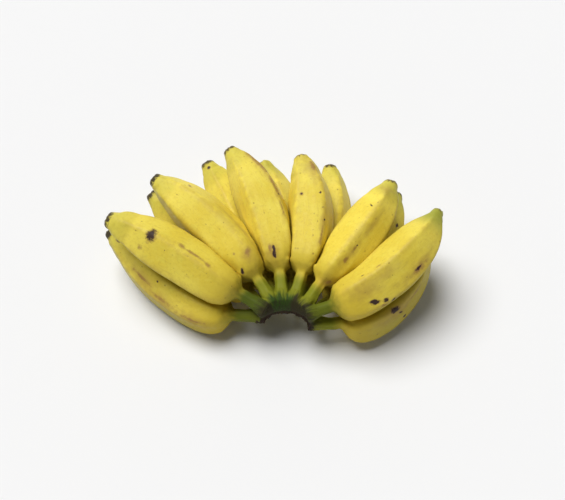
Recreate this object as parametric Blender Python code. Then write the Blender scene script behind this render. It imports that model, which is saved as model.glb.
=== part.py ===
"""Hand of plump, short bananas lying on its outer curve.

Thirteen fingers stand in two rows on one curved crown: six in the upper row and seven below,
each lower finger showing between two upper ones. Every finger is one closed body that runs from
its stalk through a blunt shoulder and a five-sided belly to a small nipple. The crown is the
fibrous plate that joins the stalks, cut off hollow where the hand was taken from its stem.

Metres, +Z up. The fingers spread towards +Y and the cut side of the crown faces -Y.
The origin is the middle of the bounding box, on the table.
"""
import math

import bpy
import numpy as np

# ---------------------------------------------------------------- driving dimensions (metres)
FINGER_LENGTH = 0.134         # stalk end to nipple, along the middle of a finger
FINGER_GIRTH = 0.0375         # mean thickness of a finger at its belly
STALK_LENGTH = 0.021          # crown to shoulder
STALK_THICKNESS = 0.0093      # mean thickness of a stalk at its waist
NIPPLE_THICKNESS = 0.0092     # the dried flower end
FAN_RADIUS = 0.0215           # arc on which the upper stalks stand, about the fan centre
LOWER_ROW_SETBACK = 0.0025    # the lower stalks stand this much further out
UPPER_STALK_HEIGHT = 0.0380   # stalk middles above the table, where they leave the crown
LOWER_STALK_HEIGHT = 0.0250
TIP_LIFT = 0.0160             # how far a tip curls up above its own belly
CROWN_WALL = 0.0135           # crown, from the cut side to the stalks
CROWN_DEPTH = 0.0230          # crown, from its top to its underside
CUT_RADIUS = 0.0225           # hollow left where the crown was cut from the stem
CUT_ROUNDING = 0.0065         # how far the crown's top edge rolls back from that hollow
CUT_SETBACK = 0.0095          # the middle of that hollow lies this far in front of the fan centre
JOINT_GAP = 0.0003            # between a stalk end and the crown
PRESS_GAP = 0.0009            # between two fingers that lie against each other
REST_DEPTH = 0.0011           # how much of a lower belly is pressed flat on the table

# ---------------------------------------------------------------- proportions
ROW_LIFT = 0.83               # upper bellies above the lower ones, in girths
STALK_DROP = 0.22             # how far the belly hangs below the line of the stalk, in half girths
STALK_FLARE = 1.28            # stalk end compared with the stalk waist
CUT_LEAN = 0.34               # the hollow is this much wider for each metre further down
RIDGES = 5                    # ridges along a finger
RIDGE_SHARPNESS = 7.0         # higher is more angular

# Half thickness along the fruit, from the shoulder (0) to the nipple (1), in half girths.
BODY_PROFILE = (
    (0.014, 0.37), (0.038, 0.60), (0.075, 0.79), (0.135, 0.92), (0.24, 0.98), (0.40, 1.0),
    (0.55, 1.0), (0.67, 0.94), (0.77, 0.82), (0.855, 0.64), (0.915, 0.46), (0.955, 0.345),
)

SEGMENTS = 20                 # around a finger
STALK_RINGS = 4
SHOULDER_RINGS = 7
BELLY_RINGS = 6
TIP_RINGS = 7
CENTRE_STEPS = 160            # samples along a centre line
CROWN_VOXEL = 0.0013
CROWN_TRIANGLES = 2000

# seat: where the stalk stands on the crown arc; stalk, belly, tip: compass headings of the finger
# at those three places (degrees, 0 = +X, 90 = +Y); length, girth, waist: whole length, thickness and
# stalk length compared with the typical finger; ridge: where one of its ridges runs, seen along the
# finger (degrees, 0 = left side, 90 = top).
UPPER_ROW = (
    dict(seat=146, stalk=150, belly=151, tip=161, length=1.00, girth=1.00, waist=0.95, ridge=79),
    dict(seat=121, stalk=118, belly=135, tip=149, length=1.00, girth=1.00, waist=1.00, ridge=100),
    dict(seat=96, stalk=93, belly=108, tip=131, length=0.98, girth=0.99, waist=1.00, ridge=54),
    dict(seat=70, stalk=73, belly=85, tip=111, length=0.88, girth=0.93, waist=1.00, ridge=122),
    dict(seat=40, stalk=61, belly=50, tip=66, length=0.88, girth=0.95, waist=1.00, ridge=98),
    dict(seat=20, stalk=12, belly=37, tip=60, length=0.95, girth=1.02, waist=0.75, ridge=92),
)
LOWER_ROW = (
    dict(seat=147, stalk=184, belly=142, tip=147, length=1.06, girth=1.02, waist=1.00, ridge=25),
    dict(seat=131, stalk=127, belly=132, tip=141, length=1.04, girth=0.97, waist=1.00, ridge=80),
    dict(seat=109, stalk=105, belly=113, tip=126, length=1.07, girth=0.95, waist=1.00, ridge=70),
    dict(seat=84, stalk=88, belly=97, tip=116, length=1.00, girth=0.93, waist=1.00, ridge=100),
    dict(seat=56, stalk=72, belly=77, tip=96, length=0.99, girth=0.96, waist=1.00, ridge=118),
    dict(seat=32, stalk=45, belly=56, tip=72, length=0.98, girth=0.98, waist=1.00, ridge=96),
    dict(seat=16, stalk=-7, belly=46, tip=70, length=0.94, girth=1.02, waist=0.95, ridge=134),
)


def through_three(first, middle, last, s):
    """Smooth value that passes through three given ones at s = 0, 1/2 and 1."""
    return first * (1 - s) * (1 - 2 * s) + 4 * middle * s * (1 - s) + last * s * (2 * s - 1)


def monotone_curve(stations, x):
    """Smooth curve through the stations that never overshoots them."""
    px, py = np.array(stations, float).T
    rise = np.diff(py) / np.diff(px)
    slope = np.concatenate(([rise[0]], np.zeros(len(px) - 2), [rise[-1]]))
    same = rise[:-1] * rise[1:] > 0
    slope[1:-1][same] = 2 * rise[:-1][same] * rise[1:][same] / (rise[:-1] + rise[1:])[same]
    k = np.clip(np.searchsorted(px, x, side="right") - 1, 0, len(px) - 2)
    h = px[k + 1] - px[k]
    u = np.clip((x - px[k]) / h, 0, 1)
    return (
        py[k] * (1 + 2 * u) * (1 - u) ** 2 + slope[k] * h * u * (1 - u) ** 2
        + py[k + 1] * u * u * (3 - 2 * u) + slope[k + 1] * h * u * u * (u - 1)
    )


class Finger:
    """One banana: a centre line with a half thickness at every point along it."""

    def __init__(self, row, number, figures):
        self.name = "%s_banana_%d" % (row, number)
        self.upper = row == "upper"
        self.figures = figures
        self.length = FINGER_LENGTH * figures["length"]
        self.girth = FINGER_GIRTH * figures["girth"]
        self.waist = STALK_LENGTH * figures["waist"]
        self.belly_height = FINGER_GIRTH * (0.5 + ROW_LIFT * self.upper)
        self.stations = self.ring_stations()
        self.trace()

    def ring_stations(self):
        """Fractions of the length at which the rings of the skin stand."""
        waist = self.waist / self.length
        body = 1 - waist
        return np.concatenate((
            np.linspace(0, waist, STALK_RINGS, endpoint=False),
            waist + body * np.linspace(0, 0.16, SHOULDER_RINGS, endpoint=False),
            waist + body * np.linspace(0.16, 0.74, BELLY_RINGS, endpoint=False),
            waist + body * np.linspace(0.74, 1.0, TIP_RINGS),
        ))

    def trace(self):
        """Centre line, its directions and its half thickness, evenly sampled."""
        f = self.figures
        s = np.linspace(0, 1, CENTRE_STEPS + 1)
        seat = math.radians(f["seat"])
        reach = FAN_RADIUS + (0 if self.upper else LOWER_ROW_SETBACK)
        start = UPPER_STALK_HEIGHT if self.upper else LOWER_STALK_HEIGHT
        height = through_three(start, self.belly_height, self.belly_height + TIP_LIFT, s)
        heading = np.radians(through_three(f["stalk"], f["belly"], f["tip"], s))
        climb = np.gradient(height, s * self.length)
        level = np.sqrt(1 - climb ** 2)
        self.along = np.stack((np.cos(heading) * level, np.sin(heading) * level, climb), axis=1)
        self.side = np.stack((-np.sin(heading), np.cos(heading), 0 * heading), axis=1)
        self.top = np.cross(self.along, self.side)
        step = self.along[:, :2] * (self.length / CENTRE_STEPS)
        plan = np.cumsum((step[1:] + step[:-1]) / 2, axis=0)
        foot = reach * np.array((math.cos(seat), math.sin(seat)))
        self.centre = np.column_stack((np.vstack((foot, foot + plan)), height))
        self.half = self.half_thickness(s)
        self.centre = self.centre - self.top * self.hang(s)[:, None]

    def half_thickness(self, s):
        """Half thickness of the skin along the finger."""
        waist = self.waist / self.length
        stalk = STALK_THICKNESS / self.girth
        body = tuple((waist + (1 - waist) * x, y) for x, y in BODY_PROFILE)
        ends = (0, stalk * STALK_FLARE), (waist * 0.55, stalk), (waist, stalk * 1.1)
        nipple = NIPPLE_THICKNESS / self.girth
        last = (waist + (1 - waist) * 0.985, nipple * 1.08), (1, nipple)
        return self.girth / 2 * monotone_curve(ends + body + last, s)

    def hang(self, s):
        """Drop of the belly below the line of the stalk; it fades towards the tip."""
        fade = np.cos(np.clip(s, 0, 1) * math.pi / 2)
        return (self.half - STALK_THICKNESS / 2).clip(0) * STALK_DROP * fade

    def at(self, values, s):
        """Samples of one of the traced lines at the given fractions."""
        grid = np.linspace(0, 1, CENTRE_STEPS + 1)
        return np.stack([np.interp(s, grid, column) for column in values.T], axis=1)

    def rings(self):
        """Ring middles and the free skin around them, before anything presses on it."""
        s = self.stations
        turn = np.arange(SEGMENTS) * 2 * math.pi / SEGMENTS
        facet = math.radians(self.figures["ridge"]) + (np.arange(RIDGES) + 0.5) * 2 * math.pi / RIDGES
        facing = np.cos(turn[:, None] - facet[None, :]).clip(0)
        angular = (facing ** RIDGE_SHARPNESS).sum(axis=1) ** (-1 / RIDGE_SHARPNESS)
        angular = angular / angular.mean()
        half = np.interp(s, np.linspace(0, 1, CENTRE_STEPS + 1), self.half)
        middle = self.at(self.centre, s)
        side, top = self.at(self.side, s), self.at(self.top, s)
        around = (
            np.cos(turn)[None, :, None] * side[:, None, :]
            + np.sin(turn)[None, :, None] * top[:, None, :]
        )
        skin = middle[:, None, :] + around * (half[:, None] * angular[None, :])[:, :, None]
        return middle, skin

    def settle(self):
        """Lower the belly until the skin just presses on the table."""
        for _ in range(6):
            lowest = self.rings()[1][:, :, 2].min()
            self.belly_height -= lowest + REST_DEPTH
            self.trace()


def distance_to(finger, points):
    """Distance from points to the middle of a finger, and its half thickness there."""
    apart = np.linalg.norm(points[:, None, :] - finger.centre[None, :, :], axis=2)
    near = apart.argmin(axis=1)
    return apart[np.arange(len(points)), near], finger.half[near]


def trespass(finger, others, points):
    """How far points lie over the borders between a finger and the others (negative = clear)."""
    own, own_half = distance_to(finger, points)
    worst = np.full(len(points), -1.0)
    for other in others:
        theirs, their_half = distance_to(other, points)
        over = (own * their_half - theirs * own_half) / (own_half + their_half)
        worst = np.maximum(worst, over + PRESS_GAP / 2)
    return worst


def pressed_skin(finger, fingers):
    """Skin of a finger flattened where its neighbours and the table lie against it."""
    middle, skin = finger.rings()
    shape = skin.shape
    start = np.repeat(middle, SEGMENTS, axis=0)
    reach = skin.reshape(-1, 3) - start
    others = [other for other in fingers if other is not finger]
    kept = np.ones(len(reach))
    low, high = np.zeros(len(reach)), np.ones(len(reach))
    squeezed = trespass(finger, others, start + reach) > 0
    for _ in range(14):
        half = (low + high) / 2
        over = trespass(finger, others, start[squeezed] + reach[squeezed] * half[squeezed, None]) > 0
        high[squeezed] = np.where(over, half[squeezed], high[squeezed])
        low[squeezed] = np.where(over, low[squeezed], half[squeezed])
    kept[squeezed] = low[squeezed]
    skin = start + reach * kept[:, None]
    skin[:, 2] = skin[:, 2].clip(0)
    return skin.reshape(shape)


def tube_faces(rings, segments):
    """Faces of a closed tube whose points run ring by ring."""
    faces = []
    for r in range(rings - 1):
        for k in range(segments):
            n = (k + 1) % segments
            a, b = r * segments, (r + 1) * segments
            faces.append((a + k, a + n, b + n, b + k))
    faces.append(tuple(range(segments))[::-1])
    faces.append(tuple(range((rings - 1) * segments, rings * segments)))
    return faces


def tube(points, radii, segments=16, squash=1.0):
    """Closed tube along points, round or taller than wide."""
    points = np.asarray(points, float)
    along = np.gradient(points, axis=0)
    along /= np.linalg.norm(along, axis=1)[:, None]
    side = np.cross((0.0, 0.0, 1.0), along)
    side /= np.linalg.norm(side, axis=1)[:, None]
    top = np.cross(along, side)
    turn = np.arange(segments) * 2 * math.pi / segments
    around = (
        np.cos(turn)[None, :, None] * side[:, None, :]
        + np.sin(turn)[None, :, None] * top[:, None, :] * squash
    )
    skin = points[:, None, :] + around * np.asarray(radii, float)[:, None, None]
    return skin.reshape(-1, 3), tube_faces(len(points), segments)


def crown_blank(fingers):
    """Rough crown: a thick arc with a stub reaching out to every stalk, as overlapping tubes."""
    seats = [finger.figures["seat"] for finger in fingers]
    turn = np.radians(np.linspace(max(seats) + 6, min(seats) - 6, 40))
    arc = FAN_RADIUS - CROWN_WALL * 0.42
    middle_height = (UPPER_STALK_HEIGHT + LOWER_STALK_HEIGHT) / 2
    path = np.stack((arc * np.cos(turn), arc * np.sin(turn), 0 * turn + middle_height), axis=1)
    end = np.sin(np.linspace(0, math.pi, 40)) ** 0.35
    wall = CROWN_WALL / 2 * (0.35 + 0.65 * end)
    parts = [tube(path, wall, squash=CROWN_DEPTH / CROWN_WALL)]
    for finger in fingers:
        foot, outward = finger.centre[0], finger.along[0]
        root = np.array((foot[0], foot[1], 0)) * (arc / np.hypot(foot[0], foot[1]))
        root[2] = foot[2] + (middle_height - foot[2]) * 0.25
        tip = foot + outward * 0.0012
        t = np.linspace(0, 1, 7)[:, None]
        bend = foot - outward * np.linalg.norm(foot - root) * 0.45
        path = root * (1 - t) ** 2 + 2 * bend * t * (1 - t) + tip * t * t
        parts.append(tube(path, finger.half[0] * np.linspace(1.25, 1.0, 7)))
    points, faces = [], []
    for part_points, part_faces in parts:
        faces += [tuple(len(points) + v for v in face) for face in part_faces]
        points += [tuple(p) for p in part_points]
    return points, faces


def cut_radius(height):
    """Radius of the hollow cut: it leans, so it is wider under the crown, and its top edge is rounded."""
    middle_height = (UPPER_STALK_HEIGHT + LOWER_STALK_HEIGHT) / 2
    above = ((height - middle_height) / (CROWN_DEPTH / 2)).clip(0)
    return CUT_RADIUS - (height - middle_height) * CUT_LEAN + CUT_ROUNDING * above ** 2


def trim_crown(points, fingers):
    """Cut the hollow side and face every stub off just short of its stalk."""
    out = np.array(points, float)
    across = out[:, :2] - np.array((0.0, -CUT_SETBACK))
    span = np.linalg.norm(across, axis=1)
    hollow = cut_radius(out[:, 2])
    inside = span < hollow
    out[inside, :2] += across[inside] * ((hollow - span) / span)[inside, None]
    for finger in fingers:
        foot, outward = finger.centre[0], finger.along[0]
        offset = out - foot
        beyond = offset @ outward
        beside = np.linalg.norm(offset - beyond[:, None] * outward, axis=1)
        over = (beyond > -JOINT_GAP) & (beside < finger.half[0] * 1.45) & (beyond < STALK_LENGTH)
        out[over] -= (beyond[over] + JOINT_GAP)[:, None] * outward
    return out


def make_material(name, colour, roughness):
    """Plain surface colour for one part of the plant."""
    material = bpy.data.materials.new(name)
    material.use_nodes = True
    surface = material.node_tree.nodes["Principled BSDF"]
    surface.inputs["Base Color"].default_value = (*colour, 1.0)
    surface.inputs["Roughness"].default_value = roughness
    return material


def make_object(name, points, faces, material, location=(0.0, 0.0, 0.0)):
    """Named object whose own origin is at the given place."""
    mesh = bpy.data.meshes.new(name)
    mesh.from_pydata([tuple(p) for p in np.asarray(points) - location], [], faces)
    mesh.materials.append(material)
    mesh.validate()
    mesh.shade_smooth()
    obj = bpy.data.objects.new(name, mesh)
    obj.location = location
    bpy.context.scene.collection.objects.link(obj)
    return obj


def grow_crown(fingers):
    """Fuse the rough crown, smooth it and thin out its mesh."""
    points, faces = crown_blank(fingers)
    blank = make_object("crown_blank", points, faces, bpy.data.materials.new("blank"))
    fuse = blank.modifiers.new("fuse", "REMESH")
    fuse.mode = "VOXEL"
    fuse.voxel_size = CROWN_VOXEL
    smooth = blank.modifiers.new("smooth", "SMOOTH")
    smooth.factor = 0.5
    smooth.iterations = 7
    bpy.context.view_layer.update()
    fused = blank.evaluated_get(bpy.context.evaluated_depsgraph_get())
    count = sum(len(face.vertices) - 2 for face in fused.data.polygons)
    thin = blank.modifiers.new("thin", "DECIMATE")
    thin.ratio = min(1.0, CROWN_TRIANGLES / count)
    bpy.context.view_layer.update()
    grown = blank.evaluated_get(bpy.context.evaluated_depsgraph_get())
    points = np.array([v.co[:] for v in grown.data.vertices])
    faces = [tuple(face.vertices) for face in grown.data.polygons]
    bpy.data.objects.remove(blank)
    return trim_crown(points, fingers), faces


def build():
    for obj in list(bpy.data.objects):
        bpy.data.objects.remove(obj)

    fingers = [Finger("upper", n + 1, f) for n, f in enumerate(UPPER_ROW)]
    fingers += [Finger("lower", n + 1, f) for n, f in enumerate(LOWER_ROW)]
    for finger in fingers:
        if not finger.upper:
            finger.settle()

    crown_points, crown_faces = grow_crown(fingers)
    skins = [pressed_skin(finger, fingers).reshape(-1, 3) for finger in fingers]

    everything = np.concatenate([crown_points] + skins)
    middle = (everything.min(axis=0) + everything.max(axis=0)) / 2
    middle[2] = 0

    green = make_material("crown_skin", (0.16, 0.19, 0.06), 0.75)
    peel = make_material("banana_peel", (0.78, 0.60, 0.08), 0.5)
    fan_centre = np.array((0.0, 0.0, (UPPER_STALK_HEIGHT + LOWER_STALK_HEIGHT) / 2)) - middle
    make_object("crown", crown_points - middle, crown_faces, green, fan_centre)
    for finger, skin in zip(fingers, skins):
        faces = tube_faces(len(skin) // SEGMENTS, SEGMENTS)
        make_object(finger.name, skin - middle, faces, peel, finger.centre[0] - middle)


build()
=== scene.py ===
"""A hand of thirteen ripe bananas: seven in the lower row, six on top, joined by a cut crown.

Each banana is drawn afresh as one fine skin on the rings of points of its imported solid, with
sharper ridges, a wrinkled neck and a dried flower end. The crown is drawn as one web that runs out
over the stalks. Lengths are in metres and angles in degrees. An angle about a banana is 0 at its
left side and 90 at its top, looking from its stalk to its tip.
"""

import math

import bmesh
import bpy
import numpy as np
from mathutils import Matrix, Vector, noise


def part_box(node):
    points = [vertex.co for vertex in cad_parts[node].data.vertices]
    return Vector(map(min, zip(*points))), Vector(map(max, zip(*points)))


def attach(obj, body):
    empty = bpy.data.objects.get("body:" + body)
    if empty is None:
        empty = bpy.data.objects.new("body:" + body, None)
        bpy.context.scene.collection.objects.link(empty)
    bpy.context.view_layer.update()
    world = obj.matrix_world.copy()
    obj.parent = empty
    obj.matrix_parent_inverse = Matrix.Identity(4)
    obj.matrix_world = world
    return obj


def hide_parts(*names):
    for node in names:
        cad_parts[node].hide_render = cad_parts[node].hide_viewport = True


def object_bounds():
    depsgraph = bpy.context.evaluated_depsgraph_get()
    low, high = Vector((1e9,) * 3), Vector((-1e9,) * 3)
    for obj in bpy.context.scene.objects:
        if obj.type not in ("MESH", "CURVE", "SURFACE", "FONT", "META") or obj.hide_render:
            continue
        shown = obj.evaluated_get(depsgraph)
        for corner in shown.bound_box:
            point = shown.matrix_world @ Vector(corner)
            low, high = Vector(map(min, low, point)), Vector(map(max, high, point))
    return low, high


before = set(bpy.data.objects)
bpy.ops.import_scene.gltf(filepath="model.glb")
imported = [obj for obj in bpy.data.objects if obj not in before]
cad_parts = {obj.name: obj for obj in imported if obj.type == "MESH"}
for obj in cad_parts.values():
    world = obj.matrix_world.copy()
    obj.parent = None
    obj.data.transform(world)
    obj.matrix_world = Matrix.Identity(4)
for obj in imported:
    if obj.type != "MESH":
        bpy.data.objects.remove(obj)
CAD_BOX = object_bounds()

MILLIMETRE = 0.001

# Each banana's ridge angle: its other four ridges stand a fifth of a turn apart from there.
RIDGE_ANGLES = {
    "upper_banana": (79, 100, 54, 122, 98, 92),
    "lower_banana": (25, 80, 70, 100, 118, 96, 134),
}
RIDGES = 5
RIDGE_HEIGHT = 0.00085        # from the peel beside a ridge up to its crest
RIDGE_SINK = 0.35             # the share of that by which the peel beside it sinks
RIDGE_HALF_WIDTH = 9.0        # degrees from a ridge's crest to where it has fallen by two thirds
RIDGE_WANDER = 5.0            # degrees that a crest strays to either side

# What sets single bananas apart: green in the stalk, green at the tip, an olive cast over the whole
# peel that is partly its own tone and partly painted shade (most on lower_banana_7, in the shadow
# of upper_banana_6), how dark the flower end has dried and how blunt it is. The rest are as the
# usual one.
PEEL_TRAITS = ("green", "tip_green", "olive", "dryness")
USUAL = {"green": 0.25, "tip_green": 0.35, "olive": 0.0, "dryness": 0.55, "blunt": 0.18}
UNUSUAL = {
    "upper_banana_1": {"green": 0.92, "olive": 0.10, "dryness": 0.85, "blunt": 0.42},
    "upper_banana_2": {"dryness": 1.0, "blunt": 0.24},
    "upper_banana_3": {"dryness": 0.7, "blunt": 0.24},
    "upper_banana_4": {"tip_green": 0.2, "dryness": 0.35, "blunt": 0.38},
    "upper_banana_5": {"tip_green": 0.5, "dryness": 0.5, "blunt": 0.28},
    "upper_banana_6": {
        "green": 0.72, "tip_green": 1.0, "olive": 0.15, "dryness": 0.2, "blunt": 0.02,
    },
    "lower_banana_1": {"green": 0.68, "olive": 0.20, "dryness": 1.35, "blunt": 0.25},
    "lower_banana_2": {"olive": 0.15, "dryness": 0.9},
    "lower_banana_3": {"dryness": 0.8, "blunt": 0.30},
    "lower_banana_4": {"tip_green": 0.55, "dryness": 0.2},
    "lower_banana_5": {"dryness": 0.7, "blunt": 0.25},
    "lower_banana_6": {"tip_green": 0.7, "dryness": 0.6},
    "lower_banana_7": {"green": 0.35, "olive": 0.50},
}

SAME_POINT = 2e-5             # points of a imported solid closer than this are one
LEVEL = 0.99999               # cosine of the angle between two faces that count as level
SIDES = 20                    # points in each ring of a packed banana
COLUMNS_PER_SIDE = 5          # points drawn for each of them
ROW_LENGTH = 0.0009           # spacing of the drawn rings
NECK = 0.19                   # the share of a banana's length that its stalk and neck take up

# Where along a banana its shape changes, in shares of its length: the change starts at the first
# number and is complete at the second.
RIDGES_RISE = (NECK * 0.8, NECK * 1.8)
RIDGES_SINK = (0.86, 0.965)
FOLDS_SINK = (NECK * 0.75, NECK * 1.5)
TIP_SWELLS = (0.85, 0.97)
TIP_ROUNDS = (0.92, 0.985)

# Smooth noise on a banana's skin: the size of its lumps, a number that keeps the kinds apart, and
# how far it is squeezed along the fruit, which draws the lumps out.
SWELL_NOISE = (0.022, 0, 1.0)
WANDER_NOISE = (0.016, 40, 0.4)
FOLD_NOISE = (0.0021, 80, 0.16)
RIM_NOISE = (0.5, 120, 1.0)
TIP_NOISE = (0.0042, 160, 1.0)
SWELL_HEIGHT = 0.00022        # broad unevenness of the whole peel
FOLD_HEIGHT = 0.00022         # fine folds that run along the stalk
TIP_UNEVENNESS = 0.10         # as a share of the tip's radius
UNDERSIDE = (-0.50, 0.45)     # upward part of the normal where the painted shade on the underside begins and ends

# The rings that close a tip: size against the last ring, distance ahead of it, raggedness.
FLOWER_RINGS = (
    (0.96, 0.0007, 0.0002),
    (0.87, 0.0016, 0.0005),
    (0.73, 0.0023, 0.0007),
    (0.58, 0.0027, 0.0007),
    (0.44, 0.0026, 0.0006),
    (0.29, 0.0019, 0.0004),
    (0.12, 0.0018, 0.0000),
)
FLOWER_STEP = 0.004           # the share of the length that each of those rings counts as

# Marks on the peel, each as share of the length, angle, half length and half width in millimetres,
# and tilt in degrees. A scar is dark and sunken, a rub is brown, and a haze is a faint brown cast.
MARKS = {
    "upper_banana_1": {
        "scars": ((0.73, 76, 4.4, 5.6, 15), (0.62, 60, 0.7, 0.7, 0)),
        "rubs": (
            (0.47, 90, 16.0, 1.5, 0), (0.55, 93, 5.0, 2.2, 0), (0.76, 32, 2.8, 2.4, 0),
            (0.36, 86, 4.0, 1.8, 0),
        ),
    },
    "upper_banana_2": {
        "scars": ((0.21, 48, 2.8, 1.2, 40),),
        "rubs": (
            (0.28, 94, 3.8, 2.4, 30), (0.32, 65, 1.5, 1.3, 0), (0.81, 126, 3.8, 1.5, 50),
            (0.80, 118, 2.8, 1.4, -20),
        ),
        "hazes": ((0.27, 90, 7.0, 5.0, 0), (0.45, 128, 22.0, 3.0, 0)),
    },
    "upper_banana_3": {
        "scars": ((0.26, 80, 5.0, 1.0, 0), (0.23, 77, 3.4, 0.9, -14), (0.59, 126, 1.1, 1.1, 0)),
        "rubs": (
            (0.27, 70, 5.0, 1.6, 0), (0.82, 124, 15.0, 2.2, 0), (0.64, 124, 12.0, 1.6, 0),
            (0.50, 122, 9.0, 1.2, 0),
        ),
        "hazes": ((0.78, 124, 24.0, 4.5, 0), (0.25, 76, 8.0, 5.0, 0)),
    },
    "upper_banana_4": {
        "scars": (
            (0.70, 115, 1.1, 1.0, 0), (0.70, 65, 0.9, 0.9, 0), (0.52, 126, 1.0, 1.0, 0),
            (0.60, 120, 0.7, 0.7, 0),
        ),
        "rubs": ((0.90, 116, 6.0, 1.8, 0), (0.70, 65, 2.2, 1.8, 0), (0.42, 122, 9.0, 1.2, 0)),
        "hazes": ((0.88, 112, 16.0, 7.0, 0), (0.50, 122, 20.0, 2.5, 0)),
    },
    "upper_banana_5": {
        "scars": ((0.49, 119, 1.2, 0.8, 0), (0.77, 83, 0.7, 2.7, 20)),
        "rubs": ((0.37, 119, 4.0, 1.9, 0), (0.46, 119, 5.0, 1.5, 0), (0.20, 137, 2.5, 2.6, 0)),
        "hazes": (
            (0.66, 119, 18.0, 3.0, 0), (0.42, 119, 15.0, 3.5, 0), (0.93, 90, 5.0, 6.0, 0),
            (0.19, 137, 6.0, 6.0, 0),
        ),
    },
    "upper_banana_6": {
        "scars": (
            (0.34, 148, 3.6, 2.0, 15), (0.40, 157, 2.4, 1.6, 0), (0.43, 168, 2.4, 1.5, -20),
            (0.64, 148, 3.6, 1.3, 0), (0.36, 79, 1.6, 0.8, 0), (0.50, 120, 0.7, 0.7, 0),
        ),
        "rubs": ((0.64, 150, 8.0, 2.4, 0), (0.38, 166, 4.0, 1.4, 10), (0.47, 84, 3.0, 1.0, 0)),
        "hazes": (
            (0.34, 112, 15.0, 8.0, 0), (0.48, 108, 13.0, 4.0, 0), (0.66, 148, 20.0, 5.0, 0),
        ),
    },
    "lower_banana_1": {
        "scars": ((0.58, 58, 1.0, 1.0, 0), (0.93, 60, 2.4, 1.6, 0)),
        "rubs": ((0.66, 40, 13.0, 1.4, 0), (0.50, 31, 13.0, 1.4, 0), (0.33, 26, 12.0, 1.1, 0)),
        "hazes": ((0.66, 38, 17.0, 5.0, 0), (0.50, 29, 17.0, 6.0, 0), (0.33, 24, 17.0, 6.0, 0)),
    },
    "lower_banana_3": {
        "scars": ((0.97, 68, 1.5, 1.5, 0),),
    },
    "lower_banana_6": {
        "scars": ((0.80, 137, 2.0, 1.6, 0),),
    },
    "lower_banana_7": {
        "scars": ((0.45, 139, 3.8, 2.6, 10), (0.48, 160, 2.4, 1.4, 30), (0.50, 187, 1.8, 1.2, 0)),
        "rubs": ((0.62, 150, 9.0, 1.6, 0),),
        "hazes": ((0.45, 150, 20.0, 7.0, 0),),
    },
}

SLEEVE_OUT = 0.0085           # how far the crown's web runs out along a stalk
SLEEVE_IN = 0.0045            # how far it is rooted in the crown
SLEEVE_LOOSE = 1.10           # its size against the stalk's where it leaves the crown
SLEEVE_TAPER = 0.20           # how much of that it has lost at its far end, under the stalk's skin
WEB_PITCH = 0.00055           # grid in which the crown is grown together
WEB_RELAXED = 8               # how often its points are evened out after that
FRESH_BEARING = 100.0         # the direction from the fan's centre where its skin is freshest
FRESH_FADES = (22.0, 40.0)    # degrees to either side of that
SKIN_ENDS = (-0.001, 0.003)   # distance along a stalk where the crown's own skin ends

# The hollow cut at the front: its axis lies CUT_SETBACK in front of the fan's centre. A point is on
# the cut as far as its normal looks at that axis, and less with its distance from the fan's centre
# and with its height.
CUT_SETBACK = 0.0095
CUT_FACING = (0.20, 0.60)
CUT_RADIUS = (0.021, 0.026)
CUT_HEIGHT = (0.25, 0.62)     # shares of the crown's height

# Smooth noise on the crown: the size of its lumps, and a number that keeps the kinds apart.
CROWN_FOLDS = (0.0013, 3)
FINE_TEARS = (0.0014, 9)
BROAD_TEARS = (0.004, 5)
FOLD_SQUEEZE = (0.18, 0.022, 0.5)   # of distance from the fan's centre, bearing and height
TEAR_SQUEEZE = (1.0, 1.0, 0.35)     # draws the fine tears out upwards
CROWN_FOLD_HEIGHT = 0.00028
FINE_TEAR_HEIGHT = 0.0007
BROAD_TEAR_HEIGHT = 0.0008

CAMERA_ELEVATION = 56.0
CAMERA_DISTANCE = 0.762
CAMERA_LENS = 61.0            # millimetres, on a sensor 36 wide
CAMERA_AIM = (0.0080, -0.0042, -0.0101)   # from the middle of the model's box

FLOOR_HALF_SIDE = 30.0
FLOOR_GREY = 0.86
FLOOR_ROUGHNESS = 0.9
KEY_FROM = (-0.35, 0.29, 1.0)
KEY_SPREAD = 42.0             # degrees across
KEY_STRENGTH = 3.3

# The room's brightness is a product of two ramps over the direction looked in: from in front of the
# cut crown (-Y) to beyond the tips (+Y), and from the horizon to overhead (Z).
ROOM_RAMPS = {
    "Y": {"From Min": -0.7, "From Max": 0.7, "To Min": 0.70, "To Max": 0.86},
    "Z": {"From Min": 0.20, "From Max": 0.44, "To Min": 1.0, "To Max": 0.07},
}


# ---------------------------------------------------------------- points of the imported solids
def welded(node):
    """The node's mesh with the points that its faces share joined up."""
    mesh = bmesh.new()
    mesh.from_mesh(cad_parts[node].data)
    bmesh.ops.remove_doubles(mesh, verts=mesh.verts, dist=SAME_POINT)
    mesh.normal_update()
    mesh.faces.ensure_lookup_table()
    return mesh


def end_caps(mesh):
    """The flat ends of a banana: groups of level faces with a whole ring of points."""
    caps = []
    left = set(mesh.faces)
    while left:
        seed = left.pop()
        group = [seed]
        for face in group:
            for edge in face.edges:
                for other in edge.link_faces:
                    if other in left and other.normal.dot(seed.normal) > LEVEL:
                        left.remove(other)
                        group.append(other)
        points = {vert for face in group for vert in face.verts}
        if len(group) == SIDES - 2 and len(points) == SIDES:
            caps.append(points)
    return caps


def banana_rings(node, crown_middle):
    """The banana's points as rings from stalk to tip, each starting at its left side."""
    mesh = welded(node)
    ring = end_caps(mesh)[0]
    seen = set(ring)
    rings = []
    while ring:
        rings.append(np.array([point.co for point in ring]))
        ring = {edge.other_vert(point) for point in ring for edge in point.link_edges} - seen
        seen |= ring
    mesh.free()
    first, last = (np.linalg.norm(rings[end].mean(axis=0) - crown_middle) for end in (0, -1))
    return aligned(rings if first < last else rings[::-1])


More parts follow.
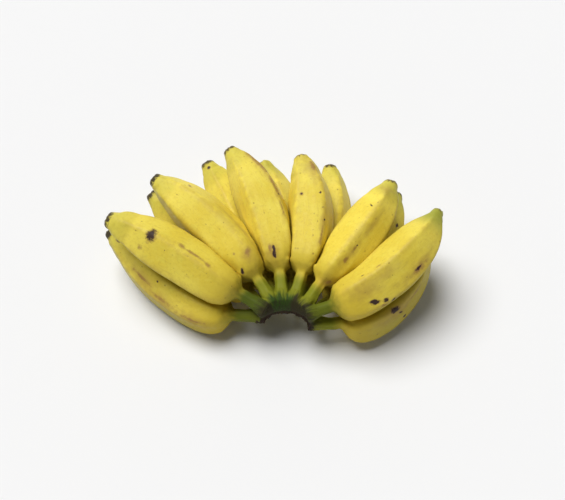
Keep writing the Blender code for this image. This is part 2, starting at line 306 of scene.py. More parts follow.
def aligned(rings):
    """Puts each ring in order round the banana, in step with the ring before it."""
    centres = np.array([ring.mean(axis=0) for ring in rings])
    headings = np.gradient(centres, axis=0)
    turns = []
    for ring, centre, heading in zip(rings, centres, headings):
        left, top = side_axes(heading)
        out = ring - centre
        angle = np.degrees(np.arctan2(out @ top, out @ left)) % 360
        order = np.argsort(angle)
        turns.append((ring[order], angle[order]))
    start = len(rings) // 2
    shift = int(np.argmin(np.abs((turns[start][1] + 180) % 360 - 180)))
    in_step = {start: np.roll(turns[start][0], -shift, axis=0)}
    for step in (1, -1):
        at = start + step
        while 0 <= at < len(rings):
            neighbour = in_step[at - step]
            choices = [np.roll(turns[at][0], -shift, axis=0) for shift in range(SIDES)]
            in_step[at] = min(choices, key=lambda choice: np.linalg.norm(choice - neighbour))
            at += step
    return np.array([in_step[at] for at in range(len(rings))])


def side_axes(heading):
    """Left and top of something that heads this way."""
    ahead = heading / np.linalg.norm(heading)
    left = np.cross((0.0, 0.0, 1.0), ahead)
    left /= np.linalg.norm(left)
    return left, np.cross(ahead, left)


# ---------------------------------------------------------------- a banana's skin
def distances_along(rings):
    """How far each ring's centre is from the stalk end, from one centre to the next."""
    steps = np.linalg.norm(np.diff(rings.mean(axis=1), axis=0), axis=1)
    return np.concatenate([[0.0], np.cumsum(steps)])


def smooth_along(rings, stations):
    """Cubic curves through the rings, read at these shares of the length."""
    travelled = distances_along(rings)
    shares = travelled / travelled[-1]
    slope = np.gradient(rings, shares, axis=0)
    at = np.clip(np.searchsorted(shares, stations, side="right") - 1, 0, len(shares) - 2)
    gap = (shares[at + 1] - shares[at])[:, None, None]
    t = (stations - shares[at])[:, None, None] / gap
    return (
        (1 + 2 * t) * (1 - t) ** 2 * rings[at]
        + t * (1 - t) ** 2 * gap * slope[at]
        + t * t * (3 - 2 * t) * rings[at + 1]
        + t * t * (t - 1) * gap * slope[at + 1]
    )


def smooth_round(rings):
    """Cubic curves through each ring's points, closed on themselves."""
    t = (np.arange(COLUMNS_PER_SIDE) / COLUMNS_PER_SIDE)[None, None, :, None]
    here = rings[:, :, None, :]
    before, after, beyond = (np.roll(rings, shift, axis=1)[:, :, None, :] for shift in (1, -1, -2))
    cubic = 3 * here - before - 3 * after + beyond
    square = 2 * before - 5 * here + 4 * after - beyond
    curve = here + t / 2 * (after - before + t * (square + t * cubic))
    return curve.reshape(len(rings), -1, 3)


def fade(value, low, high):
    """0 below low, 1 above high and a smooth step between."""
    t = np.clip((value - low) / (high - low), 0.0, 1.0)
    return t * t * (3 - 2 * t)


def outward(grid):
    """Unit normals of a closed tube of rings."""
    along = np.gradient(grid, axis=0)
    across = np.roll(grid, -1, axis=1) - np.roll(grid, 1, axis=1)
    normal = np.cross(across, along)
    return normal / np.maximum(np.linalg.norm(normal, axis=2, keepdims=True), 1e-12)


def turn_between(angle, other):
    """Degrees from one angle to another, the short way round."""
    return (angle - other + 180.0) % 360.0 - 180.0


def lumps(points, size, seed):
    """Smooth noise of about this size at each point, from -1 to 1."""
    shift = Vector((seed * 7.31, seed * 3.17, seed * 5.71))
    flat = points.reshape(-1, 3) / size
    values = [noise.noise(Vector(point) + shift) for point in flat]
    return np.array(values).reshape(points.shape[:-1])


class Skin:
    """One banana's drawn surface: rings of points with what its peel needs to know at each."""

    def __init__(self, node, seed, crown_middle):
        self.node = node
        self.seed = seed
        kind, number = node.rsplit("_", 1)
        self.ridge_angle = RIDGE_ANGLES[kind][int(number) - 1]
        self.nature = {**USUAL, **UNUSUAL.get(node, {})}
        packed = banana_rings(node, crown_middle)
        self.length = distances_along(packed)[-1]
        rows = int(self.length / ROW_LENGTH)
        self.share = np.linspace(0.0, 1.0, rows)
        self.grid = smooth_round(smooth_along(packed, self.share))
        self.columns = self.grid.shape[1]
        self.angle = np.arange(self.columns) * 360.0 / self.columns
        spokes = self.grid - self.grid.mean(axis=1, keepdims=True)
        self.radius = np.linalg.norm(spokes, axis=2).mean(axis=1)
        self.straight = self.unrolled()
        self.round_tip()
        self.raise_ridges()
        self.wrinkle_neck()

    def unrolled(self):
        """Each point's place on the banana pulled straight, for grain that follows the fruit."""
        turn = np.radians(self.angle)[None, :]
        radius = self.radius[:, None]
        along = np.repeat(self.share[:, None] * self.length, self.columns, axis=1)
        return np.stack([along, radius * np.cos(turn), radius * np.sin(turn)], axis=2)

    def noise(self, points, kind):
        """Smooth noise of one kind, different on each banana."""
        size, series, squeeze = kind
        return lumps(points * (squeeze, 1.0, 1.0), size, self.seed + series)

    def ridge(self):
        """1 on the crest of a ridge, falling away to its sides."""
        step = 360.0 / RIDGES
        off = (self.angle - self.ridge_angle + step / 2) % step - step / 2
        wander = self.noise(self.straight, WANDER_NOISE) * RIDGE_WANDER
        return np.exp(-(((off[None, :] + wander) / RIDGE_HALF_WIDTH) ** 2))

    def round_tip(self):
        """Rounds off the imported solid's edges towards the tip, and swells it to a blunt stub."""
        centre = self.grid.mean(axis=1, keepdims=True)
        spoke = self.grid - centre
        span = np.linalg.norm(spoke, axis=2, keepdims=True)
        near_end = fade(self.share, *TIP_ROUNDS)[:, None, None]
        even = span + (self.radius[:, None, None] - span) * near_end
        fuller = 1 + self.nature["blunt"] * fade(self.share, *TIP_SWELLS)[:, None, None]
        rough = self.noise(self.straight, TIP_NOISE)[:, :, None]
        uneven = 1 + TIP_UNEVENNESS * rough * near_end
        self.grid = centre + spoke / span * even * fuller * uneven

    def raise_ridges(self):
        """Five soft ridges and a broad unevenness on the body of the banana."""
        body = fade(self.share, *RIDGES_RISE) * (1 - fade(self.share, *RIDGES_SINK))
        swell = self.noise(self.straight, SWELL_NOISE) * SWELL_HEIGHT
        height = self.ridge() * RIDGE_HEIGHT - RIDGE_HEIGHT * RIDGE_SINK + swell
        self.grid += outward(self.grid) * (height * body[:, None])[:, :, None]

    def wrinkle_neck(self):
        """Fine folds that run along the stalk and die away on the shoulder."""
        stalk = 1 - fade(self.share, *FOLDS_SINK)
        folds = self.noise(self.straight, FOLD_NOISE) * FOLD_HEIGHT
        self.grid += outward(self.grid) * (folds * stalk[:, None])[:, :, None]

    def flower_end(self):
        """Rings that close the tip: a ragged dry rim round a sunken scar."""
        last = self.grid[-1]
        centre = last.mean(axis=0)
        ahead = centre - self.grid[-4].mean(axis=0)
        ahead /= np.linalg.norm(ahead)
        turn = np.radians(self.angle)
        circle = np.stack([np.cos(turn), np.sin(turn), turn * 0], axis=1)
        ragged = self.noise(circle, RIM_NOISE)
        rings = []
        for size, forward, rough in FLOWER_RINGS:
            reach = (forward + rough * ragged)[:, None] * ahead
            rings.append(centre + (last - centre) * size + reach)
        return np.array(rings)

    def field(self, marks):
        """1 at the middle of a mark, 0 on its outline and -1 well away from all of them."""
        along = self.share[:, None] * self.length
        around = self.radius[:, None]
        field = np.full((len(self.share), self.columns), -1.0)
        for share, angle, half_length, half_width, tilt in marks:
            ahead = along - share * self.length
            beside = np.radians(turn_between(self.angle, angle))[None, :] * around
            cos, sin = math.cos(math.radians(tilt)), math.sin(math.radians(tilt))
            long_way = (ahead * cos + beside * sin) / (half_length * MILLIMETRE)
            short_way = (beside * cos - ahead * sin) / (half_width * MILLIMETRE)
            field = np.maximum(field, 1 - np.hypot(long_way, short_way))
        return field

    def draw(self, material):
        """Puts the closed skin in the scene, no lower than the floor, with what its peel needs."""
        grid = np.concatenate([self.grid, self.flower_end()])
        grid[:, :, 2] = np.maximum(grid[:, :, 2], CAD_BOX[0].z)
        mesh = bpy.data.meshes.new("peel_" + self.node)
        mesh.from_pydata(*tube(grid))
        past_end = 1.0 + FLOWER_STEP * np.arange(1, len(FLOWER_RINGS) + 1)
        shares = np.concatenate([self.share, past_end])
        along = np.repeat(shares[:, None], self.columns, axis=1)
        marks = MARKS.get(self.node, {})
        values = {
            "along": along,
            **{name: np.full(along.shape, self.nature[name]) for name in PEEL_TRAITS},
            "ridge": padded(self.ridge()),
            # Painted shade: 1 where the skin faces down, which the material darkens to olive.
            "under": padded(1 - fade(outward(self.grid)[:, :, 2], *UNDERSIDE)),
            "scar": padded(self.field(marks.get("scars", ()))),
            "rub": padded(self.field(marks.get("rubs", ()))),
            "haze": padded(self.field(marks.get("hazes", ()))),
            "straight": padded(self.straight),
        }
        for name, value in values.items():
            store(mesh, name, with_ends(value))
        placed(mesh, material, self.node)


def padded(values):
    """The last row repeated for the rings that close the tip."""
    return np.concatenate([values, np.repeat(values[-1:], len(FLOWER_RINGS), axis=0)])


def with_ends(values):
    """The values in the order of a tube's points, with those of its two end points."""
    points = values.reshape(values.shape[0] * values.shape[1], *values.shape[2:])
    return np.concatenate([points, values[[0, -1], 0]])


def tube(grid):
    """Points, edges and faces of rings closed by one point at each end."""
    rows, columns = grid.shape[:2]
    points = [tuple(point) for point in grid.reshape(-1, 3)]
    points += [tuple(grid[0].mean(axis=0)), tuple(grid[-1].mean(axis=0))]
    first_end, last_end = rows * columns, rows * columns + 1
    sides = [(column, (column + 1) % columns) for column in range(columns)]
    faces = [(right, left, first_end) for left, right in sides]
    for row in range(rows - 1):
        here = row * columns
        beyond = here + columns
        for left, right in sides:
            faces.append((here + left, here + right, beyond + right, beyond + left))
    last = (rows - 1) * columns
    faces += [(last + left, last + right, last_end) for left, right in sides]
    return points, [], faces


def store(mesh, name, values):
    """Keeps a number or a vector for each point, for the mesh's material to read."""
    kind, field = ("FLOAT", "value") if values.ndim == 1 else ("FLOAT_VECTOR", "vector")
    layer = mesh.attributes.new(name, kind, "POINT")
    layer.data.foreach_set(field, values.astype(np.float32).ravel())


def new_object(name, data):
    """An object in the scene that shows this mesh, lamp or camera."""
    thing = bpy.data.objects.new(name, data)
    bpy.context.scene.collection.objects.link(thing)
    return thing


def placed(mesh, material, node):
    """Puts a piece in the scene in place of the node that it is drawn from."""
    piece = new_object(mesh.name, mesh)
    mesh.polygons.foreach_set("use_smooth", [True] * len(mesh.polygons))
    mesh.materials.append(material)
    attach(piece, "root")
    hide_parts(node)


# ---------------------------------------------------------------- the crown
def fan_centre(skins):
    """The point that the stalks stand round, from a circle through their ends."""
    ends = np.array([skin.grid[0].mean(axis=0)[:2] for skin in skins])
    table = np.column_stack([2 * ends, np.ones(len(ends))])
    return np.linalg.lstsq(table, (ends ** 2).sum(axis=1), rcond=None)[0][:2]


def sleeve(skin):
    """A short tube over a stalk, rooted in the crown and sunk below the stalk's skin at its end."""
    rows = skin.grid[: int(SLEEVE_OUT / ROW_LENGTH)]
    centres = rows.mean(axis=1, keepdims=True)
    reach = np.linspace(0.0, 1.0, len(rows))[:, None, None]
    over = centres + (rows - centres) * (SLEEVE_LOOSE - SLEEVE_TAPER * reach ** 2)
    back = centres[0, 0] - centres[2, 0]
    back /= np.linalg.norm(back)
    roots = [over[0] + back * SLEEVE_IN * share for share in (1.0, 0.66, 0.33)]
    return np.concatenate([np.array(roots), over])


def solid_tube(mesh, grid):
    """Adds rings closed at both ends to a bmesh."""
    rings = [[mesh.verts.new(point) for point in ring] for ring in grid]
    for ring, following in zip(rings, rings[1:]):
        for column in range(len(ring)):
            right = (column + 1) % len(ring)
            mesh.faces.new((ring[column], ring[right], following[right], following[column]))
    mesh.faces.new(rings[0][::-1])
    mesh.faces.new(rings[-1])


def draw_crown(skins, material):
    """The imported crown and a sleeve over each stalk, grown together and given their surface."""
    mesh = welded("crown")
    for skin in skins:
        solid_tube(mesh, sleeve(skin))
    bmesh.ops.recalc_face_normals(mesh, faces=mesh.faces)
    rough = bpy.data.meshes.new("crown_rough")
    mesh.to_mesh(rough)
    mesh.free()
    piece = new_object("crown_rough", rough)
    web = piece.modifiers.new("web", "REMESH")
    web.mode = "VOXEL"
    web.voxel_size = WEB_PITCH
    relax = piece.modifiers.new("relax", "SMOOTH")
    relax.factor = 0.5
    relax.iterations = WEB_RELAXED
    graph = bpy.context.evaluated_depsgraph_get()
    grown = bpy.data.meshes.new_from_object(piece.evaluated_get(graph))
    grown.name = "crown_web"
    bpy.data.objects.remove(piece)
    surface_crown(grown, skins)
    placed(grown, material, "crown")


def surface_crown(mesh, skins):
    """Folds on its skin, a torn fibrous cut, and what the crown's material needs to know."""
    points = read_points(mesh, "co")
    normals = read_points(mesh, "normal")
    centre = fan_centre(skins)
    span = points[:, :2] - centre
    bearing = np.arctan2(span[:, 1], span[:, 0])
    radius = np.linalg.norm(span, axis=1)
    to_axis = centre - (0.0, CUT_SETBACK) - points[:, :2]
    to_axis /= np.linalg.norm(to_axis, axis=1, keepdims=True)
    facing = fade((normals[:, :2] * to_axis).sum(axis=1), *CUT_FACING)
    facing *= 1 - fade(radius, *CUT_RADIUS)
    low, high = points[:, 2].min(), points[:, 2].max()
    cut = facing * (1 - fade(points[:, 2], *(low + share * (high - low) for share in CUT_HEIGHT)))
    polar = np.stack([radius, bearing, points[:, 2]], axis=1) * FOLD_SQUEEZE
    folds = lumps(polar, *CROWN_FOLDS) * CROWN_FOLD_HEIGHT
    tears = lumps(points * TEAR_SQUEEZE, *FINE_TEARS) * FINE_TEAR_HEIGHT
    tears += lumps(points, *BROAD_TEARS) * BROAD_TEAR_HEIGHT
    out, green = along_nearest_stalk(points, skins)
    plate = 1 - fade(out, *SKIN_ENDS)
    points += normals * (folds * plate * (1 - cut) + tears * cut)[:, None]
    mesh.vertices.foreach_set("co", points.astype(np.float32).ravel())
    fresh = 1 - fade(np.abs(np.degrees(bearing) - FRESH_BEARING), *FRESH_FADES)
    values = {"cut": cut, "out": out, "green": green, "fresh": fresh, "straight": polar}
    for name, value in values.items():
        store(mesh, name, value)


def read_points(mesh, field):
    """This field of each of the mesh's points, as rows of three numbers."""
    values = np.empty(len(mesh.vertices) * 3, np.float32)
    mesh.vertices.foreach_get(field, values)
    return values.reshape(-1, 3).astype(float)


def along_nearest_stalk(points, skins):
    """How far each point is along the stalk nearest to it, and how green that stalk is."""
    feet = np.array([skin.grid[0].mean(axis=0) for skin in skins])
    necks = np.array([skin.grid[int(SLEEVE_OUT / ROW_LENGTH)].mean(axis=0) for skin in skins])
    ahead = necks - feet
    ahead /= np.linalg.norm(ahead, axis=1, keepdims=True)
    offset = points[:, None, :] - feet[None, :, :]
    along = (offset * ahead[None, :, :]).sum(axis=2)
    reached = np.clip(along, 0.0, SLEEVE_OUT)[:, :, None] * ahead[None, :, :]
    nearest = np.linalg.norm(offset - reached, axis=2).argmin(axis=1)
    greens = np.array([skin.nature["green"] for skin in skins])
    return along[np.arange(len(points)), nearest], greens[nearest]


# ---------------------------------------------------------------- materials
# The numbers in a step() are the range of a noise or of a stored value over which a colour comes
# in, and what it is multiplied by, or its last number, is the most that the colour covers.
class Shader:
    """A material's nodes, made one after another."""

    def __init__(self, name):
        self.material = bpy.data.materials.new(name)
        self.material.use_nodes = True
        self.tree = self.material.node_tree
        self.surface = self.tree.nodes["Principled BSDF"]

    def add(self, kind, settings=(), **inputs):
        """A new node with these settings, and with these numbers or links in its inputs."""
        node = self.tree.nodes.new(kind)
        for name, value in dict(settings).items():
            setattr(node, name, value)
        for name, value in inputs.items():
            self.feed(node.inputs[name.replace("_", " ")], value)
        return node

    def feed(self, socket, value):
        """Links a value that comes from another node, or sets one that is the same everywhere."""
        if isinstance(value, bpy.types.NodeSocket):
            self.tree.links.new(value, socket)
        else:
            socket.default_value = value

    def attribute(self, name):
        """What the mesh has stored under this name."""
        node = self.add("ShaderNodeAttribute", {"attribute_name": name})
        return node.outputs["Vector"] if name == "straight" else node.outputs["Fac"]

    def scaled(self, vector, x, y, z):
        """The vector with each part multiplied, which draws out or squeezes a pattern on it."""
        node = self.add("ShaderNodeVectorMath", {"operation": "MULTIPLY"})
        self.feed(node.inputs[0], vector)
        node.inputs[1].default_value = (x, y, z)
        return node.outputs["Vector"]

    def noise(self, vector, size, detail=2.0, roughness=0.5):
        """Noise from 0 to 1 whose lumps are about this many metres across."""
        node = self.add("ShaderNodeTexNoise", Vector=vector, Scale=1 / size)
        node.inputs["Detail"].default_value = detail
        node.inputs["Roughness"].default_value = roughness
        return node.outputs["Fac"]

    def specks(self, vector, size):
        """Distance from the nearest of some scattered points, and a number that each point has."""
        node = self.add("ShaderNodeTexVoronoi", Vector=vector, Scale=1 / size)
        number = self.add("ShaderNodeSeparateColor", Color=node.outputs["Color"])
        return node.outputs["Distance"], number.outputs["Red"]

    def freckles(self, vector, pitch, sparse, largest):
        """Round spots of many sizes, at most one to each cell of about this pitch."""
        near, number = self.specks(self.scaled(vector, 0.7, 1, 1), pitch)
        size = self.step(number, sparse, 1.0, 0.02, largest)
        spots = self.step(self.sum(near, size, "SUBTRACT"), -0.06, 0.02, 1.0, 0.0)
        return self.times(spots, self.step(number, sparse - 0.02, sparse + 0.04))

    def step(self, value, low, high, out_low=0.0, out_high=1.0):
        """A smooth step: out_low where the value is low, out_high where it is high."""
        node = self.add("ShaderNodeMapRange", {"interpolation_type": "SMOOTHSTEP"}, Value=value)
        limits = {"From Min": low, "From Max": high, "To Min": out_low, "To Max": out_high}
        for name, number in limits.items():
            node.inputs[name].default_value = number
        return node.outputs["Result"]

    def sum(self, first, second, operation="ADD"):
        """The two added, or joined by another operation."""
        node = self.add("ShaderNodeMath", {"operation": operation})
        self.feed(node.inputs[0], first)
        self.feed(node.inputs[1], second)
        return node.outputs["Value"]

    def times(self, first, second):
        """The two multiplied."""
        return self.sum(first, second, "MULTIPLY")

    def blend(self, amount, first, second):
        """The first colour where the amount is 0, the second where it is 1."""
        node = self.add("ShaderNodeMix", {"data_type": "RGBA"})
        self.feed(node.inputs[0], amount)
        for socket, colour in ((node.inputs[6], first), (node.inputs[7], second)):
            self.feed(socket, (*colour, 1.0) if isinstance(colour, tuple) else colour)
        return node.outputs[2]

    def bump(self, height, distance, strength=1.0, normal=None):
        """The surface's normal where this height stands up to this many metres high."""
        node = self.add("ShaderNodeBump", Height=height, Distance=distance, Strength=strength)
        if normal is not None:
            self.feed(node.inputs["Normal"], normal)
        return node.outputs["Normal"]


UNDERSIDE_PAINTED_SHADE = 0.72     # how far the painted olive shade covers the side that faces down
PEEL_SHINE = 0.20
STALK_SHINE = 0.08

# Where along a banana its colour changes, in shares of its length: the change starts at the first
# number and is complete at the second. The rings that close the tip go on past 1.
STALK_GREEN_FADES = (0.105, 0.215)
SHINE_RISES = (0.12, 0.25)
TAN_GROWS = (0.24, 0.19)
# The shoulder's gold is partly the peel's own deeper tone and partly painted shade and warm bounced
# light.
GOLD_SHADE_GROWS = (0.44, 0.24)
TIP_GREEN_GROWS = (0.87, 1.0)
DRY_RIM_STARTS = (0.985, 1.002)
DRY_RIM_PALES = (1.012, 1.022)
FLOWER_SCAR_STARTS = (1.010, 1.022)

YELLOW = (0.86, 0.70, 0.092)
DEEP_YELLOW = (0.79, 0.60, 0.055)
LEMON = (0.84, 0.73, 0.10)
PALE_YELLOW = (0.90, 0.76, 0.17)
STALK_LIME = (0.275, 0.280, 0.020)
STALK_GREEN = (0.066, 0.094, 0.012)
CROWN_GREEN = (0.040, 0.084, 0.011)
TIP_GREEN = (0.36, 0.36, 0.045)
# Olive for the olive cast that some bananas have, partly painted shade, and for the painted shade
# on every peel's underside.
OLIVE_AND_PAINTED_SHADE = (0.32, 0.26, 0.030)
# Gold of the shoulder: partly the peel's own tone, partly painted shade and warm bounced light.
SHOULDER_GOLD_AND_SHADE = (0.58, 0.42, 0.030)
TAN = (0.50, 0.32, 0.065)
RUB_BROWN = (0.33, 0.175, 0.055)
BRUISE = (0.030, 0.014, 0.020)
FRECKLE = (0.26, 0.13, 0.03)
DRY_BROWN = (0.115, 0.075, 0.035)
DRY_BLACK = (0.022, 0.015, 0.014)
FLOWER_SCAR = (0.24, 0.19, 0.07)
CUT_BROWN = (0.046, 0.029, 0.019)
CUT_FIBRE = (0.125, 0.085, 0.045)
FIBRE_BROWN = (0.046, 0.036, 0.016)
CROWN_OLIVE = (0.040, 0.052, 0.011)


def stalk_green(shader):
    """The green of a stalk clear of the crown, the same in the peel and in the web over it."""
    return shader.blend(shader.attribute("green"), STALK_LIME, STALK_GREEN)


def stalk_colour(shader, yellow, along, straight):
    """Yellow peel with a green neck and tan stains; its gold shoulder is partly painted shade."""
    waver = shader.times(shader.noise(shader.scaled(straight, 0.2, 1, 1), 0.004), 0.05)
    place = shader.sum(along, waver)
    stained = shader.step(shader.noise(straight, 0.005), 0.4, 0.6)
    tan = shader.times(shader.step(place, *TAN_GROWS), stained)
    peel = shader.blend(shader.times(tan, 0.35), yellow, TAN)
    later = shader.times(shader.attribute("green"), -0.02)
    ripe = shader.step(shader.sum(place, later), *STALK_GREEN_FADES)
    # Partly painted shade: a darker, warmer gold over the shoulder near the stalk end.
    peel = shader.blend(shader.step(place, *GOLD_SHADE_GROWS, 0.0, 0.62), peel, SHOULDER_GOLD_AND_SHADE)
    return shader.blend(ripe, stalk_green(shader), peel)


def make_peel():
    """Ripe peel: clouded, mottled and streaked, in painted olive shade below, green at its ends,
    with marks.
    """
    shader = Shader("banana_peel")
    straight = shader.attribute("straight")
    along = shader.attribute("along")
    streaks = shader.noise(shader.scaled(straight, 0.12, 1, 1), 0.0016, detail=3.0)
    patches = shader.noise(straight, 0.026)
    cloud = shader.noise(straight, 0.0065, detail=3.0)
    colour = shader.blend(shader.times(shader.step(patches, 0.42, 0.66), 0.7), YELLOW, DEEP_YELLOW)
    colour = shader.blend(shader.times(shader.step(cloud, 0.50, 0.72), 0.4), colour, LEMON)
    colour = shader.blend(shader.times(shader.step(streaks, 0.54, 0.75), 0.22), colour, TAN)
    mottle = shader.noise(straight, 0.0022, detail=4.0, roughness=0.6)
    colour = shader.blend(shader.step(mottle, 0.50, 0.72, 0.0, 0.24), colour, TAN)
    colour = shader.blend(shader.step(mottle, 0.48, 0.30, 0.0, 0.22), colour, PALE_YELLOW)
    ridge = shader.times(shader.attribute("ridge"), shader.step(cloud, 0.38, 0.58))
    colour = shader.blend(shader.times(ridge, 0.36), colour, TAN)
    # Painted shade: the side that faces down, and the bananas given an olive cast, turn darker
    # olive.
    below = shader.times(shader.attribute("under"), UNDERSIDE_PAINTED_SHADE)
    olive_and_painted_shade = shader.sum(shader.attribute("olive"), below)
    colour = shader.blend(olive_and_painted_shade, colour, OLIVE_AND_PAINTED_SHADE)
    colour = stalk_colour(shader, colour, along, straight)
    tip_green = shader.step(shader.sum(along, shader.times(patches, 0.08)), *TIP_GREEN_GROWS)
    colour = shader.blend(shader.times(tip_green, shader.attribute("tip_green")), colour, TIP_GREEN)
    colour, dips = add_blemishes(shader, colour, straight, along)
    shader.feed(shader.surface.inputs["Base Color"], colour)
    roughness = shader.step(shader.noise(straight, 0.003), 0.3, 0.7, 0.42, 0.56)
    shader.feed(shader.surface.inputs["Roughness"], roughness)
    shine = shader.step(along, *SHINE_RISES, STALK_SHINE, PEEL_SHINE)
    shader.feed(shader.surface.inputs["Specular IOR Level"], shine)
    pores = shader.noise(straight, 0.0007, detail=2.0)
    grain = shader.bump(shader.sum(pores, shader.times(streaks, 0.8)), 0.00010)
    shader.feed(shader.surface.inputs["Normal"], shader.bump(dips, 0.00020, 0.8, grain))
    return shader.material


def add_blemishes(shader, colour, straight, along):
    """Freckles, hazes, rubs, scars and the dry flower end, and 1 less how deep they sit."""
    ragged = shader.sum(shader.noise(straight, 0.0016, detail=4.0, roughness=0.65), -0.5)
    coarse = shader.sum(shader.noise(straight, 0.0045, detail=3.0), -0.5)
    freckles = shader.freckles(straight, 0.0060, 0.56, 0.13)
    fine = shader.freckles(straight, 0.0042, 0.36, 0.17)
    colour = shader.blend(shader.times(fine, 0.36), colour, FRECKLE)
    colour = shader.blend(shader.times(freckles, 0.60), colour, FRECKLE)
    haze = shader.sum(shader.attribute("haze"), shader.times(coarse, 1.4))
    colour = shader.blend(shader.step(haze, -0.35, 1.00, 0.0, 0.42), colour, RUB_BROWN)
    rub = shader.sum(shader.attribute("rub"), shader.times(ragged, 1.2))
    rub = shader.step(shader.sum(rub, shader.times(coarse, 1.3)), -0.15, 0.80)
    colour = shader.blend(shader.times(rub, 0.82), colour, RUB_BROWN)
    scar = shader.sum(shader.attribute("scar"), shader.times(ragged, 1.1))
    scar = shader.sum(scar, shader.times(coarse, 1.1))
    colour = shader.blend(shader.step(scar, -0.25, 0.20, 0.0, 0.55), colour, RUB_BROWN)
    scar = shader.step(scar, 0.02, 0.42)
    colour = shader.blend(shader.times(scar, 0.95), colour, BRUISE)
    dryness = shader.attribute("dryness")
    uneven = shader.sum(along, shader.times(shader.sum(ragged, coarse), 0.040))
    edge = shader.sum(uneven, shader.times(shader.sum(dryness, -1.0), 0.024))
    flower_scar = shader.step(uneven, *FLOWER_SCAR_STARTS, 0.0, 0.8)
    colour = shader.blend(flower_scar, colour, FLOWER_SCAR)
    paler = shader.step(uneven, *DRY_RIM_PALES, 1.0, 0.6)
    dry = shader.times(shader.step(edge, *DRY_RIM_STARTS), paler)
    dried = shader.blend(shader.step(dryness, 0.2, 1.1), DRY_BROWN, DRY_BLACK)
    colour = shader.blend(shader.times(dry, 0.95), colour, dried)
    marks = shader.sum(shader.sum(scar, dry), shader.times(freckles, 0.5))
    return colour, shader.sum(1.0, marks, "SUBTRACT")


def make_crown_skin():
    """Fibrous skin, green where fresh, worn brown towards the cut, and the torn cut itself."""
    shader = Shader("banana_crown")
    straight = shader.attribute("straight")
    out = shader.attribute("out")
    blotches = shader.sum(shader.noise(straight, 0.0032, detail=4.0, roughness=0.6), -0.5)
    place = shader.sum(out, shader.times(blotches, 0.020))
    fibres = shader.noise(shader.scaled(straight, 0.25, 1, 1), 0.0012, detail=4.0, roughness=0.7)
    fresh = shader.sum(shader.attribute("fresh"), shader.times(blotches, 2.2))
    fresh = shader.step(fresh, 0.20, 0.85)
    worn_skin = shader.blend(shader.step(fibres, 0.40, 0.60), FIBRE_BROWN, CROWN_OLIVE)
    plate = shader.blend(fresh, worn_skin, CROWN_GREEN)
    inward = shader.step(place, 0.0, -0.007, 0.10, 0.75)
    worn = shader.times(shader.step(fibres, 0.42, 0.62), inward)
    plate = shader.blend(worn, plate, CUT_BROWN)
    colour = shader.blend(shader.step(place, -0.0040, 0.0042), plate, stalk_green(shader))
    cut = shader.step(shader.sum(shader.attribute("cut"), shader.times(blotches, 0.9)), 0.20, 0.60)
    grain = shader.noise(shader.scaled(straight, 1, 1, 0.35), 0.0010, detail=4.0, roughness=0.7)
    torn = shader.blend(shader.step(grain, 0.36, 0.52), DRY_BLACK, CUT_BROWN)
    torn = shader.blend(shader.step(grain, 0.54, 0.72, 0.0, 0.7), torn, CUT_FIBRE)
    colour = shader.blend(cut, colour, torn)
    shader.feed(shader.surface.inputs["Base Color"], colour)
    shader.feed(shader.surface.inputs["Roughness"], shader.step(cut, 0.0, 1.0, 0.52, 0.85))
    shader.surface.inputs["Specular IOR Level"].default_value = STALK_SHINE
    height = shader.blend(cut, shader.step(fibres, 0.2, 0.8), shader.step(grain, 0.2, 0.8))
    shader.feed(shader.surface.inputs["Normal"], shader.bump(height, 0.00045))
    return shader.material


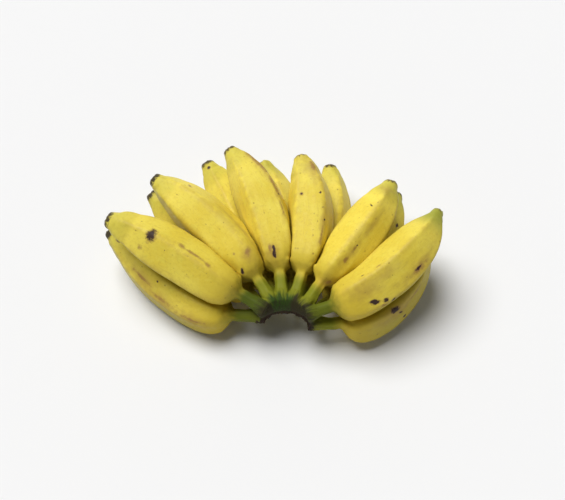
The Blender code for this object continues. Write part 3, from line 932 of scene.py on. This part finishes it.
# ---------------------------------------------------------------- studio
def make_studio():
    """A wide soft light high behind the left, and a room pale at the horizon and dim above."""
    sun = bpy.data.lights.new("softbox", "SUN")
    sun.energy = KEY_STRENGTH
    sun.angle = math.radians(KEY_SPREAD)
    lamp = new_object("softbox", sun)
    lamp.rotation_euler = Vector(KEY_FROM).to_track_quat("Z", "Y").to_euler()

    world = bpy.data.worlds.new("studio")
    world.use_nodes = True
    nodes, links = world.node_tree.nodes, world.node_tree.links
    heading = nodes.new("ShaderNodeTexCoord")
    axes = nodes.new("ShaderNodeSeparateXYZ")
    room = nodes.new("ShaderNodeMath")
    room.operation = "MULTIPLY"
    links.new(heading.outputs["Generated"], axes.inputs["Vector"])
    for socket, (axis, limits) in zip(room.inputs, ROOM_RAMPS.items()):
        ramp = nodes.new("ShaderNodeMapRange")
        ramp.interpolation_type = "SMOOTHSTEP"
        for name, value in limits.items():
            ramp.inputs[name].default_value = value
        links.new(axes.outputs[axis], ramp.inputs["Value"])
        links.new(ramp.outputs["Result"], socket)
    links.new(room.outputs["Value"], nodes["Background"].inputs["Strength"])
    nodes["Background"].inputs["Color"].default_value = (1.0, 1.0, 1.0, 1.0)
    bpy.context.scene.world = world
    bpy.context.scene.view_settings.view_transform = "Standard"


def make_floor(bottom):
    """A plain pale floor under the hand, wide enough to reach the horizon."""
    mesh = bpy.data.meshes.new("floor")
    corners = [(-1, -1), (1, -1), (1, 1), (-1, 1)]
    points = [(x * FLOOR_HALF_SIDE, y * FLOOR_HALF_SIDE, bottom) for x, y in corners]
    mesh.from_pydata(points, [], [(0, 1, 2, 3)])
    floor = new_object("floor", mesh)
    shader = Shader("studio_floor")
    shader.surface.inputs["Base Color"].default_value = (FLOOR_GREY, FLOOR_GREY, FLOOR_GREY, 1.0)
    shader.surface.inputs["Roughness"].default_value = FLOOR_ROUGHNESS
    mesh.materials.append(shader.material)


def make_camera(centre):
    """The photograph's view: square on to the cut crown, from high in front."""
    data = bpy.data.cameras.new("camera")
    data.lens = CAMERA_LENS
    camera = new_object("camera", data)
    lift = math.radians(CAMERA_ELEVATION)
    aim = centre + Vector(CAMERA_AIM)
    camera.location = aim + Vector((0.0, -math.cos(lift), math.sin(lift))) * CAMERA_DISTANCE
    camera.rotation_euler = (math.pi / 2 - lift, 0.0, 0.0)
    bpy.context.scene.camera = camera


# ---------------------------------------------------------------- the whole hand
def build():
    """Draws the bananas in the order of their names, and the crown that holds them."""
    low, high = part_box("crown")
    crown_middle = (low + high) / 2
    peel = make_peel()
    nodes = sorted(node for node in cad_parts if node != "crown")
    skins = [Skin(node, seed, crown_middle) for seed, node in enumerate(nodes)]
    draw_crown(skins, make_crown_skin())
    for skin in skins:
        skin.draw(peel)


build()
box_middle = (CAD_BOX[0] + CAD_BOX[1]) / 2
make_camera(box_middle)
make_studio()
make_floor(CAD_BOX[0].z)
